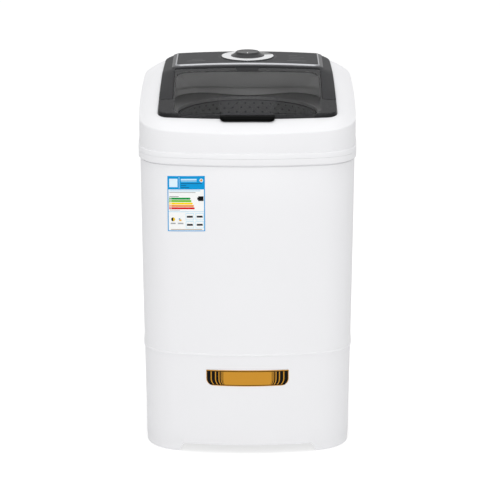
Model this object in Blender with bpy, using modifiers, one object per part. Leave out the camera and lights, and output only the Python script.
"""Top-loading washing machine: a moulded cabinet on a footed base, a domed top with a
smoked lid, a timer console, and the basket, pulsator and belt drive inside.

The frame is +Z up with the origin on the floor, at the middle of the machine.
The front faces -Y. All sizes are in metres.
"""

import math

import bmesh
import bpy
from mathutils import Matrix
from mathutils import Vector

# Gaps and overruns
SEAT_GAP = 0.0003
CUT_OVERRUN = 0.004

# Outer skin: half widths, and the front and rear faces, from the floor up
BAND_HALF = 0.3015
BAND_FRONT = -0.2945
BAND_REAR = 0.2945
WALL_SETBACK = 0.0025
WALL_FRONT_SETBACK = 0.0030
WALL_HALF = BAND_HALF - WALL_SETBACK
WALL_FRONT = BAND_FRONT + WALL_FRONT_SETBACK
WALL_REAR = BAND_REAR - WALL_FRONT_SETBACK
BAND_STAND = 0.0045
BODY_REAR_SETBACK = 0.0055
CABINET_TOP_HALF = BAND_HALF - BAND_STAND
CABINET_TOP_FRONT = BAND_FRONT + BAND_STAND
BODY_REAR = BAND_REAR - BODY_REAR_SETBACK
CABINET_DRAFT = 0.0035
CABINET_FRONT_DRAFT = 0.0030
CABINET_FOOT_HALF = CABINET_TOP_HALF - CABINET_DRAFT
CABINET_FOOT_FRONT = CABINET_TOP_FRONT + CABINET_FRONT_DRAFT
BASE_SETBACK = 0.0022
BASE_FRONT_SETBACK = 0.0020
BASE_TOP_HALF = CABINET_FOOT_HALF - BASE_SETBACK
BASE_TOP_FRONT = CABINET_FOOT_FRONT + BASE_FRONT_SETBACK
BASE_DRAFT = 0.0038
BASE_FRONT_DRAFT = 0.0030
BASE_FOOT_HALF = BASE_TOP_HALF - BASE_DRAFT
BASE_FOOT_FRONT = BASE_TOP_FRONT + BASE_FRONT_DRAFT
CORNER_RADIUS = 0.1090
FRONT_SWELL = 0.0200
SIDE_SWELL = 0.0040

# Heights of the joints in the outer skin
SKIRT_BOTTOM_Z = 0.0015
FOOT_LINE_Z = 0.0235
BASE_TOP_Z = 0.2840
CABINET_BOTTOM_Z = BASE_TOP_Z + SEAT_GAP
BAND_SPLIT_Z = 0.8415
CABINET_SINK = 0.0035
BAND_HEIGHT = 0.0185
CABINET_TOP_Z = BAND_SPLIT_Z - CABINET_SINK
BAND_BOTTOM_Z = BAND_SPLIT_Z - BAND_HEIGHT
FRAME_BOTTOM_Z = BAND_SPLIT_Z + SEAT_GAP
FRAME_BEAD_Z = 0.8550
FRAME_WALL_Z = 0.8595
CREASE_FRONT_Z = 0.9110
CREASE_REAR_Z = 1.0010

# Base skirt and feet
SKIRT_WALL = 0.0040
SKIRT_STEP = 0.0008
LEDGE_WIDTH = 0.0260
LEDGE_TOP_Z = 0.2755
LEDGE_THICKNESS = 0.0040
ARCH_TOP_HALF = 0.1785
ARCH_FOOT_HALF = 0.1910
ARCH_SIDE_TOP_HALF = 0.1550
ARCH_SIDE_FOOT_HALF = 0.1675
ARCH_HEIGHT = 0.0245
FOOT_BOSS_RADIUS = 0.0340
FOOT_BOSS_HEIGHT = 0.0500
FOOT_BOSS_SINK = 0.0030
PAD_RADIUS = 0.0300
PAD_THICKNESS = 0.0060
PAD_EDGE = 0.0015
STEM_RADIUS = 0.0080
STEM_LENGTH = 0.0160

# Cabinet shell
CABINET_WALL = 0.0030
CABINET_BEAD = 0.0016
CABINET_BEAD_HEIGHT = 0.0060
CABINET_FLANGE = 0.0120
BAND_WALL = 0.0032

# Top frame
FRAME_WALL = 0.0025
CREASE_ROUND = 0.0030
RAIL_CROWN = 0.0030
RAIL_FRONT_Z = 0.9380
RAIL_KNEE_Y = 0.1000
RAIL_KNEE_Z = 0.9998
RAIL_REAR_Z = 1.0090
RECESS_DEPTH = 0.0035
RECESS_FLANGE = 0.0130
RECESS_WALL = 0.0012

# Dark insert: its outline and the crowned surface that the lid and the console share
RAIL_WIDTH = 0.0570
INSERT_HALF = BAND_HALF - RAIL_WIDTH
FRONT_RAIL_WIDTH = 0.0695
INSERT_FRONT = BAND_FRONT + FRONT_RAIL_WIDTH
REAR_RAIL_WIDTH = 0.0125
INSERT_REAR = BAND_REAR - REAR_RAIL_WIDTH
INSERT_CORNER = 0.0300
INSERT_FRONT_SWELL = 0.0100
INSERT_SIDE_SWELL = 0.0015
INSERT_TAPER_SHARE = 0.0260
INSERT_GAP = 0.0010
NOSE_WIDTH = 0.0085
NOSE_Y = INSERT_FRONT + NOSE_WIDTH
NOSE_Z = 0.9560
NOSE_DROP = 0.0060
DECK_KNEE_Y = 0.0850
DECK_KNEE_Z = 1.0220
DECK_REAR_Z = 1.0280
DECK_CROWN = 0.0071
ARM_WIDTH = 0.0395
STRIP_START_X = INSERT_HALF - ARM_WIDTH
STRIP_DROP = 0.0100
STRIP_FADE_Y = -0.0600
ARM_FRONT_Y = -0.1200
INSERT_WALL = 0.0030
SEAT_LEDGE = 0.0020

# Well under the lid
WELL_HALF = INSERT_HALF - ARM_WIDTH
LID_FRONT_MARGIN = 0.0350
WELL_FRONT = INSERT_FRONT + LID_FRONT_MARGIN
WELL_REAR = 0.0870
WELL_CORNER = 0.0300
WELL_WALL = 0.0025
WELL_FLANGE = 0.0100
WELL_LIP = 0.0080
WELL_LIP_RISE = 0.0015
WELL_CREASE_REAR = 0.1700
WELL_CREASE_SHARE = 0.43
WELL_FOOT_SPREAD = 0.0030
WELL_FOOT_HALF = WELL_HALF + WELL_FOOT_SPREAD
WELL_FOOT_REAR = 0.2430
WELL_FOOT_CORNER = 0.0900
WELL_FOOT_Z = 0.9165
WELL_DIP = 0.0290
WELL_DIP_HALF = 0.1500

# Console
PLATEAU_FRONT_Y = 0.1020
PLATEAU_FRONT_Z = 1.0305
PLATEAU_REAR_Z = 1.0320
PLATEAU_CROWN = 0.0064
TRIM_OVERHANG = 0.0095
TRIM_HALF = WELL_HALF + TRIM_OVERHANG
TRIM_FRONT_Y = 0.0950
TRIM_BEVEL = 0.0070
TRIM_EDGE = 0.0015
TRIM_BAR = 0.0080
TRIM_STAND = 0.0008
TRIM_CORNER = 0.0120
PANEL_THICKNESS = 0.0024

# Dial, knob and timer
DIAL_Y = 0.2060
RING_RADIUS = 0.0745
RING_THICKNESS = 0.0012
KNOB_BASE_RADIUS = 0.0480
KNOB_TOP_RADIUS = 0.0338
KNOB_TOP_Z = 1.0455
KNOB_RIM = 0.0020
KNOB_DISH = 0.0008
KNOB_SKIRT_WALL = 0.0025
KNOB_HUB_RADIUS = 0.0090
TIMER_SHAFT_RADIUS = 0.0030
TIMER_SHAFT_GRIP = 0.0060
TIMER_BODY_HALF = 0.0290
TIMER_BODY_DEPTH = 0.0340
TIMER_BODY_ROUND = 0.0040

# Lid
LID_WALL = 0.0028
LID_SKIRT = 0.0170
LID_LIFT = 0.0007
LID_SIDE_GAP = 0.0015
LID_REAR_Y = 0.0840
OPENING_CORNER = 0.0080
LID_TAIL = 0.0060
LID_TAIL_DROP = 0.0050
HINGE_Y = 0.0720
HINGE_Z = 1.0110
HINGE_PIN_RADIUS = 0.0030
HINGE_PIN_REACH = 0.0060
GRIP_TOP_HALF = 0.0810
GRIP_FOOT_HALF = 0.0700
GRIP_TOP_Y = -0.1450
GRIP_FOOT_Y = -0.2100
GRIP_DEPTH = 0.0006
HANDLE_HALF = 0.0735
HANDLE_REACH = 0.0215
HANDLE_TOP_Z = 0.9480
HANDLE_NOSE_DROP = 0.0070
HANDLE_CLEARANCE = 0.0015
HANDLE_CORNER = 0.0130
TAB_HALF = 0.0310
TAB_LENGTH = 0.0180
TAB_STOP_FRONT = 0.0876
TAB_STOP_REAR = 0.0946
TAB_HEIGHT = 0.0030

# Lid switch
SWITCH_INSET = 0.0265
SWITCH_X = INSERT_HALF - SWITCH_INSET
SWITCH_SETBACK = 0.0250
SWITCH_Y = ARM_FRONT_Y - SWITCH_SETBACK
PLUNGER_RADIUS = 0.0025
PLUNGER_HOLE = 0.0033
PLUNGER_SUNK = 0.0120
SWITCH_HALF_X = 0.0070
SWITCH_HALF_Y = 0.0140
SWITCH_HEIGHT = 0.0260

# Tub and its cover
COVER_INSET = 0.0300
COVER_TOP_Z = 0.9160
COVER_THICKNESS = 0.0030
COVER_MOUTH_RADIUS = 0.1955
COVER_LIP_DEPTH = 0.0100
COVER_LIP_WALL = 0.0025
TUB_RADIUS = 0.2345
TUB_FOOT_RADIUS = 0.2290
TUB_WALL = 0.0035
TUB_RIM_WIDTH = 0.0060
TUB_RIM_HEIGHT = 0.0080
TUB_BOTTOM_Z = 0.3180
TUB_ROUND = 0.0150
TUB_DISH = 0.0100
TUB_DISH_RADIUS = 0.1700
TUB_HUB_HOLE = 0.0475

# Basket
BASKET_RADIUS = 0.1885
BASKET_FOOT_RADIUS = 0.1860
BASKET_WALL = 0.0020
BASKET_TOP_Z = 0.9035
BASKET_BOTTOM_Z = 0.3580
BASKET_ROUND = 0.0160
BASKET_HUB_HOLE = 0.0180
RIM_RADIUS = 0.1925
RIM_INNER_RADIUS = 0.1835
RIM_HEIGHT = 0.0140
RIM_TOP_Z = 0.9080
PERFORATION_RADIUS = 0.0024
PERFORATION_PITCH = 0.0990
PERFORATION_TOP_Z = 0.8740
PERFORATION_ROW = 0.1500
PERFORATION_BOTTOM_Z = 0.4000

# Pulsator
PULSATOR_RADIUS = 0.1580
PULSATOR_LIFT = 0.0060
PULSATOR_EDGE = 0.0060
PULSATOR_CONE = 0.0220
PULSATOR_CAP_RADIUS = 0.0420
PULSATOR_CAP_HEIGHT = 0.0180
VANE_COUNT = 6
VANE_INNER = 0.0300
VANE_OUTER = 0.1450
VANE_HALF = 0.0110
VANE_HEIGHT = 0.0300
VANE_TIP_HEIGHT = 0.0120

# Drive line under the tub
SHAFT_RADIUS = 0.0085
TUBE_BORE = 0.0093
TUBE_RADIUS = 0.0125
BEARING_BORE = 0.0128
BEARING_RADIUS = 0.0230
BEARING_WIDTH = 0.0120
HOUSING_BORE = 0.0233
HOUSING_RADIUS = 0.0330
HOUSING_BOTTOM_Z = 0.1980
HOUSING_TOP_Z = 0.3240
HOUSING_NECK_RADIUS = 0.0450
HOUSING_FLANGE_RADIUS = 0.0700
HOUSING_FLANGE = 0.0060
SEAL_WIDTH = 0.0080
TUBE_BOTTOM_Z = 0.1900
HUB_RADIUS = 0.0600
HUB_THICKNESS = 0.0060
PLATE_CLEARANCE = 0.0040
PLATE_BOTTOM_Z = 0.2758
PLATE_THICKNESS = 0.0025
MOUNT_RADIUS = 0.0180
MOUNT_WAIST = 0.0130
MOUNT_CIRCLE = 0.1900

# Pulleys and belt
PULLEY_MID_Z = 0.1000
PULLEY_HALF_WIDTH = 0.0085
DRIVEN_RADIUS = 0.1100
DRIVEN_WEB = 0.0040
DRIVEN_HUB_RADIUS = 0.0200
DRIVEN_RIM = 0.0140
LIGHTENING_RADIUS = 0.0220
LIGHTENING_CIRCLE = 0.0600
LIGHTENING_COUNT = 5
MOTOR_PULLEY_RADIUS = 0.0220
GROOVE_DEPTH = 0.0070
GROOVE_HALF = 0.0055
GROOVE_FOOT_HALF = 0.0030
BELT_THICKNESS = 0.0060
BELT_HALF = 0.0045
BELT_FOOT_HALF = 0.0022
BELT_SLACK = 0.0005

# Motor
MOTOR_X = 0.1150
MOTOR_Y = 0.1250
MOTOR_RADIUS = 0.0600
MOTOR_BELL_RADIUS = 0.0500
MOTOR_TOP_Z = 0.2690
MOTOR_BOTTOM_Z = 0.1560
MOTOR_BELL = 0.0160
MOTOR_SHAFT_RADIUS = 0.0060
MOTOR_SHAFT_GRIP = 0.0400
BRACKET_THICKNESS = 0.0030
BRACKET_HALF = 0.0780
BRACKET_CORNER = 0.0200
CAPACITOR_X = -0.1600
CAPACITOR_Y = 0.1500
CAPACITOR_RADIUS = 0.0200
CAPACITOR_HEIGHT = 0.0800
CAPACITOR_RIM = 0.0020

# Drain, gland and service cover
DRAIN_X = -0.1000
DRAIN_Y = -0.0900
DRAIN_RADIUS = 0.0150
DRAIN_HOLE = 0.0175
DRAIN_DROP_Z = 0.1500
OUTLET_X = -0.1500
OUTLET_Z = 0.1050
OUTLET_RADIUS = 0.0160
OUTLET_BORE = 0.0120
OUTLET_REACH = 0.0040
OUTLET_INSIDE = 0.0200
OUTLET_FLANGE = 0.0210
OUTLET_FLANGE_THICKNESS = 0.0018
GLAND_X = 0.1500
GLAND_Z = 0.1050
GLAND_RADIUS = 0.0090
GLAND_FLANGE = 0.0120
GLAND_REACH = 0.0042
COVER_PLATE_HALF = 0.1300
COVER_PLATE_LOW_Z = 0.3200
COVER_PLATE_HIGH_Z = 0.6000
COVER_PLATE_THICKNESS = 0.0018
COVER_PLATE_CORNER = 0.0200
COVER_PLATE_LAP = 0.0120

# How finely the curves are divided
FRONT_COUNT = 7
SIDE_COUNT = 5
REAR_COUNT = 2
CORNER_COUNT = 5
PLAIN_COUNT = 2
PLAIN_COUNTS = (PLAIN_COUNT, PLAIN_COUNT, PLAIN_COUNT)
WELL_SIDE_COUNT = 3
WELL_REAR_COUNT = 9
WELL_COUNTS = (PLAIN_COUNT, WELL_SIDE_COUNT, WELL_REAR_COUNT)
COVER_COUNT = 6
COVER_COUNTS = (COVER_COUNT, COVER_COUNT, COVER_COUNT)
ROUND_STEPS = 32
BASKET_STEPS = 40
MEDIUM_STEPS = 20
SMALL_STEPS = 14


def make_material(name, colour, roughness, metallic=0.0):
    """A Principled material with one colour, roughness and metallic value."""
    material = bpy.data.materials.new(name)
    material.use_nodes = True
    shader = material.node_tree.nodes["Principled BSDF"]
    shader.inputs["Base Color"].default_value = (*colour, 1.0)
    shader.inputs["Roughness"].default_value = roughness
    shader.inputs["Metallic"].default_value = metallic
    material.diffuse_color = (*colour, 1.0)
    return material


def make_collection(name):
    collection = bpy.data.collections.new(name)
    bpy.context.scene.collection.children.link(collection)
    return collection


def add_object(name, mesh, material=None):
    """Links a mesh as a node of the machine, or as a cutter when it has no material."""
    obj = bpy.data.objects.new(name, mesh)
    if material is None:
        cutters.objects.link(obj)
        obj.hide_render = True
        obj.display_type = "WIRE"
    else:
        parts.objects.link(obj)
        mesh.materials.append(material)
    return obj


def finish_mesh(name, bm):
    """Turns a bmesh into a mesh with outward faces and smooth round sides."""
    bmesh.ops.recalc_face_normals(bm, faces=bm.faces)
    mesh = bpy.data.meshes.new(name)
    bm.to_mesh(mesh)
    bm.free()
    mesh.shade_smooth()
    mesh.set_sharp_from_angle(angle=math.radians(35.0))
    return mesh


def arc_between(start, end, swell, count):
    """Points and outward normals on a shallow arc; outward is to the right of its run."""
    run = end - start
    along = run.normalized()
    outward = Vector((along.y, -along.x))
    if swell <= 0.0:
        return [(start + run * (i / (count - 1)), outward) for i in range(count)]
    half = run.length / 2.0
    radius = (half * half + swell * swell) / (2.0 * swell)
    centre = (start + end) / 2.0 - outward * (radius - swell)
    reach = math.asin(half / radius)
    points = []
    for i in range(count):
        angle = reach * (2.0 * i / (count - 1) - 1.0)
        normal = outward * math.cos(angle) + along * math.sin(angle)
        points.append((centre + normal * radius, normal))
    return points


def outline(half, front, rear, corner, swells=(0.0, 0.0, 0.0), counts=None):
    """A rounded plan outline, anticlockwise from the front left.

    The swells bow the front, the sides and the rear, and the counts divide them.
    """
    front_swell, side_swell, rear_swell = swells
    front_count, side_count, rear_count = counts or (FRONT_COUNT, SIDE_COUNT, REAR_COUNT)
    left = -(half - corner - side_swell)
    low = front + corner + front_swell
    high = rear - corner - rear_swell
    core = [Vector((left, low)), Vector((-left, low)), Vector((-left, high)), Vector((left, high))]
    sides = [
        arc_between(core[0], core[1], front_swell, front_count),
        arc_between(core[1], core[2], side_swell, side_count),
        arc_between(core[2], core[3], rear_swell, rear_count),
        arc_between(core[3], core[0], side_swell, side_count),
    ]
    points = []
    for index, side in enumerate(sides):
        points.extend(place + normal * corner for place, normal in side)
        place, first = side[-1]
        second = sides[(index + 1) % 4][0][1]
        turn = first.angle_signed(second)
        for step in range(1, CORNER_COUNT + 1):
            share = step / (CORNER_COUNT + 1)
            normal = first.copy()
            normal.rotate(Matrix.Rotation(-turn * share, 2))
            points.append(place + normal * corner)
    return points


def skin_outline(half, front, rear, inset, counts=None):
    """The outer skin's outline at one height, drawn in by an inset."""
    return outline(
        half - inset,
        front + inset,
        rear - inset,
        CORNER_RADIUS - inset,
        (FRONT_SWELL, SIDE_SWELL, 0.0),
        counts,
    )


def insert_outline(grow):
    """The dark insert's outline, a little narrower at the rear."""
    points = outline(
        INSERT_HALF + grow,
        INSERT_FRONT - grow,
        INSERT_REAR + grow,
        INSERT_CORNER + grow,
        (INSERT_FRONT_SWELL, INSERT_SIDE_SWELL, 0.0),
    )
    length = INSERT_REAR - INSERT_FRONT
    tapered = []
    for point in points:
        share = INSERT_TAPER_SHARE * (point.y - INSERT_FRONT) / length
        tapered.append(Vector((point.x * (1.0 - share), point.y)))
    return tapered


def circle_like(points, radius):
    """A circle whose points lie in the same directions as an outline's."""
    return [point.normalized() * radius for point in points]


def ring(points, height):
    """Lifts an outline to a height, which may depend on the place."""
    if callable(height):
        return [Vector((point.x, point.y, height(point.x, point.y))) for point in points]
    return [Vector((point.x, point.y, height)) for point in points]


def rings_mesh(name, rings, closed):
    """Joins rings of equal count, either round a closed section or between two caps.

    Both faces of a thin wall are split along the same diagonals, so that they stay apart.
    """
    bm = bmesh.new()
    loops = [[bm.verts.new(place) for place in places] for places in rings]
    count = len(loops[0])
    pairs = list(zip(loops, loops[1:]))
    if closed:
        pairs.append((loops[-1], loops[0]))
    else:
        bm.faces.new(loops[0])
        bm.faces.new(loops[-1])
    for first, second in pairs:
        falls = sum(vert.co.z for vert in first) > sum(vert.co.z for vert in second)
        high, low = (first, second) if falls else (second, first)
        for i in range(count):
            j = (i + 1) % count
            bm.faces.new((high[i], high[j], low[j]))
            bm.faces.new((high[i], low[j], low[i]))
    return finish_mesh(name, bm)


def prism_mesh(name, points, low, high):
    return rings_mesh(name, [ring(points, low), ring(points, high)], False)


def turned(name, profile, material, at=(0.0, 0.0), steps=ROUND_STEPS, closed=True):
    """A turned piece. The profile's radii and heights run down its outer side."""
    bm = bmesh.new()
    line = [bm.verts.new((radius, 0.0, height)) for radius, height in profile]
    for first, second in zip(line, line[1:]):
        bm.edges.new((first, second))
    if closed:
        bm.edges.new((line[-1], line[0]))
    mesh = bpy.data.meshes.new(name)
    bm.to_mesh(mesh)
    bm.free()
    obj = add_object(name, mesh, material)
    obj.location = (at[0], at[1], 0.0)
    screw = obj.modifiers.new("Screw", "SCREW")
    screw.steps = steps
    screw.render_steps = steps
    screw.use_merge_vertices = True
    screw.merge_threshold = 0.00001
    screw.use_smooth_shade = False
    return obj


def tube_profile(outer, inner, low, high):
    return [(outer, high), (outer, low), (inner, low), (inner, high)]


def crowned_block(name, half, front, rear, top, bottom, lines_x, lines_y, material=None):
    """A block whose top and underside follow two height functions."""
    bm = bmesh.new()
    bmesh.ops.create_cube(bm, size=2.0)
    middle = (front + rear) / 2.0
    for vert in bm.verts:
        vert.co.x *= half
        vert.co.y = middle + vert.co.y * (rear - front) / 2.0
    cuts = [(Vector((x, 0.0, 0.0)), Vector((1.0, 0.0, 0.0))) for x in lines_x if abs(x) < half]
    cuts += [(Vector((0.0, y, 0.0)), Vector((0.0, 1.0, 0.0))) for y in lines_y if front < y < rear]
    for place, normal in cuts:
        whole = bm.verts[:] + bm.edges[:] + bm.faces[:]
        bmesh.ops.bisect_plane(bm, geom=whole, dist=0.0, plane_co=place, plane_no=normal)
    bmesh.ops.triangulate(bm, faces=bm.faces)
    for vert in bm.verts:
        height = top if vert.co.z > 0.0 else bottom
        if callable(height):
            vert.co.z = height(vert.co.x, vert.co.y)
        else:
            vert.co.z = height
    return add_object(name, finish_mesh(name, bm), material)


def rounded_box(name, centre, size, width, segments, material):
    """A box with rounded edges."""
    bm = bmesh.new()
    bmesh.ops.create_cube(bm, size=1.0)
    bmesh.ops.scale(bm, vec=size, verts=bm.verts)
    bmesh.ops.translate(bm, vec=centre, verts=bm.verts)
    if width > 0.0:
        bmesh.ops.bevel(
            bm,
            geom=bm.edges[:],
            affect="EDGES",
            offset=width,
            segments=segments,
            profile=0.5,
            material=-1,
        )
    return add_object(name, finish_mesh(name, bm), material)


def rod(name, radius, low, high, at, steps=MEDIUM_STEPS, material=None):
    """A plain upright cylinder."""
    bm = bmesh.new()
    bmesh.ops.create_cone(
        bm,
        cap_ends=True,
        segments=steps,
        radius1=radius,
        radius2=radius,
        depth=high - low,
        matrix=Matrix.Translation((at[0], at[1], (low + high) / 2.0)),
    )
    return add_object(name, finish_mesh(name, bm), material)


def set_origin(obj, at):
    """Move an object's origin onto its joint's axis and leave its mesh in place."""
    obj.data.transform(Matrix.Translation(-Vector(at)))
    obj.location = at


def boolean(obj, other, operation="DIFFERENCE"):
    modifier = obj.modifiers.new(operation.title(), "BOOLEAN")
    modifier.object = other
    modifier.operation = operation
    modifier.solver = "EXACT"
    return obj


def spread(low, high, count):
    return [low + (high - low) * i / (count - 1) for i in range(count)]


def between(value, low, high):
    """Share of the way from low to high, held between none and all."""
    return min(1.0, max(0.0, (value - low) / (high - low)))


def crease_height(x, y):
    """The crease between the outer wall and the rail climbs to the rear."""
    share = between(y, WALL_FRONT, WALL_REAR)
    return CREASE_FRONT_Z + (CREASE_REAR_Z - CREASE_FRONT_Z) * share


def rail_height(x, y):
    """The rail's inner edge, where the insert sits."""
    if y < RAIL_KNEE_Y:
        share = (y - INSERT_FRONT) / (RAIL_KNEE_Y - INSERT_FRONT)
        return RAIL_FRONT_Z + (RAIL_KNEE_Z - RAIL_FRONT_Z) * share
    share = (y - RAIL_KNEE_Y) / (INSERT_REAR - RAIL_KNEE_Y)
    return RAIL_KNEE_Z + (RAIL_REAR_Z - RAIL_KNEE_Z) * share


def recess_height(x, y):
    """The flange inside the rail that carries the insert."""
    return rail_height(x, y) - RECESS_DEPTH


def insert_foot(x, y):
    return recess_height(x, y) + SEAT_GAP


def deck_height(x, y):
    """The crowned surface of the lid and of the insert round it."""
    if y < NOSE_Y:
        height = NOSE_Z - NOSE_DROP * (NOSE_Y - y) / (NOSE_Y - INSERT_FRONT)
    elif y < DECK_KNEE_Y:
        height = NOSE_Z + (DECK_KNEE_Z - NOSE_Z) * (y - NOSE_Y) / (DECK_KNEE_Y - NOSE_Y)
    else:
        share = (y - DECK_KNEE_Y) / (INSERT_REAR - DECK_KNEE_Y)
        height = DECK_KNEE_Z + (DECK_REAR_Z - DECK_KNEE_Z) * share
    height -= DECK_CROWN * (x / INSERT_HALF) ** 2
    side = max(0.0, abs(x) - STRIP_START_X) / (INSERT_HALF - STRIP_START_X)
    return height - STRIP_DROP * side * between(y, STRIP_FADE_Y, DECK_KNEE_Y)


def plateau_height(x, y):
    """The raised console top, higher than the deck round it."""
    share = (y - PLATEAU_FRONT_Y) / (INSERT_REAR - PLATEAU_FRONT_Y)
    height = PLATEAU_FRONT_Z + (PLATEAU_REAR_Z - PLATEAU_FRONT_Z) * share
    return height - PLATEAU_CROWN * (x / TRIM_HALF) ** 2


def lowered(height, drop):
    """The same height function, some way further down."""
    return lambda x, y: height(x, y) - drop


def deck_lines():
    """Where the crowned blocks are divided, across and along."""
    strips = [STRIP_START_X, (STRIP_START_X + INSERT_HALF) / 2.0]
    across = spread(-STRIP_START_X, STRIP_START_X, 9) + strips + [-x for x in strips]
    along = [NOSE_Y, ARM_FRONT_Y, STRIP_FADE_Y, DECK_KNEE_Y, RAIL_KNEE_Y]
    return across, along


def make_base():
    """The skirt is one moulding: wall, foot line, ledge, corner bosses and arches."""

    def level(share, inset):
        half = BASE_FOOT_HALF + (BASE_TOP_HALF - BASE_FOOT_HALF) * share
        front = BASE_FOOT_FRONT + (BASE_TOP_FRONT - BASE_FOOT_FRONT) * share
        return skin_outline(half, front, BODY_REAR, inset)

    line_share = FOOT_LINE_Z / BASE_TOP_Z
    ledge_inset = SKIRT_WALL + LEDGE_WIDTH
    section = [
        ring(level(0.0, SKIRT_STEP), SKIRT_BOTTOM_Z),
        ring(level(line_share, SKIRT_STEP), FOOT_LINE_Z - SKIRT_STEP),
        ring(level(line_share, 0.0), FOOT_LINE_Z),
        ring(level(1.0, 0.0), BASE_TOP_Z),
        ring(level(1.0, SKIRT_WALL), BASE_TOP_Z),
        ring(level(1.0, SKIRT_WALL), LEDGE_TOP_Z),
        ring(level(1.0, ledge_inset), LEDGE_TOP_Z),
        ring(level(1.0, ledge_inset), LEDGE_TOP_Z - LEDGE_THICKNESS),
        ring(level(1.0, SKIRT_WALL), LEDGE_TOP_Z - LEDGE_THICKNESS),
        ring(level(0.0, SKIRT_WALL), SKIRT_BOTTOM_Z),
    ]
    skirt = add_object("base_skirt", rings_mesh("base_skirt", section, True), white)
    bosses = []
    for side_x in (-1.0, 1.0):
        for side_y in (-1.0, 1.0):
            front = BASE_FOOT_FRONT + FRONT_SWELL if side_y < 0.0 else -BODY_REAR
            reach = CORNER_RADIUS - SKIRT_WALL - FOOT_BOSS_RADIUS + FOOT_BOSS_SINK
            lean = reach / math.sqrt(2.0)
            x = side_x * (BASE_FOOT_HALF - SIDE_SWELL - CORNER_RADIUS + lean)
            y = -side_y * (front + CORNER_RADIUS - lean)
            bosses.append((x, y))
    names = ("front_left", "rear_left", "front_right", "rear_right")
    for (x, y), name in zip(bosses, names):
        boss = rod(
            "boss_" + name,
            FOOT_BOSS_RADIUS,
            PAD_THICKNESS + SEAT_GAP,
            FOOT_BOSS_HEIGHT,
            (x, y),
        )
        boolean(skirt, boss, "UNION")
    cut_arches(skirt)
    for (x, y), name in zip(bosses, names):
        socket = rod(
            "socket_" + name,
            STEM_RADIUS + SEAT_GAP,
            0.0,
            PAD_THICKNESS + STEM_LENGTH + 2.0 * SEAT_GAP,
            (x, y),
            SMALL_STEPS,
        )
        boolean(skirt, socket)
        turned(
            "foot_pad_" + name,
            [
                (0.0, PAD_THICKNESS + STEM_LENGTH),
                (STEM_RADIUS, PAD_THICKNESS + STEM_LENGTH),
                (STEM_RADIUS, PAD_THICKNESS),
                (PAD_RADIUS, PAD_THICKNESS),
                (PAD_RADIUS, PAD_EDGE),
                (PAD_RADIUS - PAD_EDGE, 0.0),
                (0.0, 0.0),
            ],
            rubber,
            (x, y),
            SMALL_STEPS,
            False,
        )
    bore = rod_along_y("gland_hole", GLAND_RADIUS + SEAT_GAP, BODY_REAR, GLAND_X, GLAND_Z)
    boolean(skirt, bore)
    bore = rod_along_y("outlet_hole", OUTLET_RADIUS + SEAT_GAP, BODY_REAR, OUTLET_X, OUTLET_Z)
    boolean(skirt, bore)


def rod_along_y(name, radius, y, x, z):
    """A round cutter through a wall at y."""
    reach = SKIRT_WALL + CUT_OVERRUN
    bm = bmesh.new()
    bmesh.ops.create_cone(
        bm,
        cap_ends=True,
        segments=MEDIUM_STEPS,
        radius1=radius,
        radius2=radius,
        depth=2.0 * reach,
        matrix=Matrix.Translation((x, y, z)) @ Matrix.Rotation(math.radians(90.0), 4, "X"),
    )
    return add_object(name, finish_mesh(name, bm))


def cut_arches(skirt):
    """The low arches between the feet, with leaning ends, front to rear and side to side."""
    low = -CUT_OVERRUN
    slope_share = (ARCH_FOOT_HALF - ARCH_TOP_HALF) / ARCH_HEIGHT
    depth_half = BODY_REAR + CUT_OVERRUN
    for name, top_half, turn in (
        ("arch_front_rear", ARCH_TOP_HALF, 0.0),
        ("arch_sides", ARCH_SIDE_TOP_HALF, math.radians(90.0)),
    ):
        foot_half = top_half + slope_share * (ARCH_HEIGHT - low)
        points = [
            Vector((-foot_half, low)),
            Vector((foot_half, low)),
            Vector((top_half, ARCH_HEIGHT)),
            Vector((-top_half, ARCH_HEIGHT)),
        ]
        bm = bmesh.new()
        loop = [bm.verts.new((point.x, -depth_half, point.y)) for point in points]
        face = bm.faces.new(loop)
        grown = bmesh.ops.extrude_face_region(bm, geom=[face])
        moved = [item for item in grown["geom"] if isinstance(item, bmesh.types.BMVert)]
        bmesh.ops.translate(bm, vec=(0.0, 2.0 * depth_half, 0.0), verts=moved)
        bmesh.ops.rotate(bm, matrix=Matrix.Rotation(turn, 3, "Z"), verts=bm.verts)
        boolean(skirt, add_object(name, finish_mesh(name, bm)))


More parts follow.
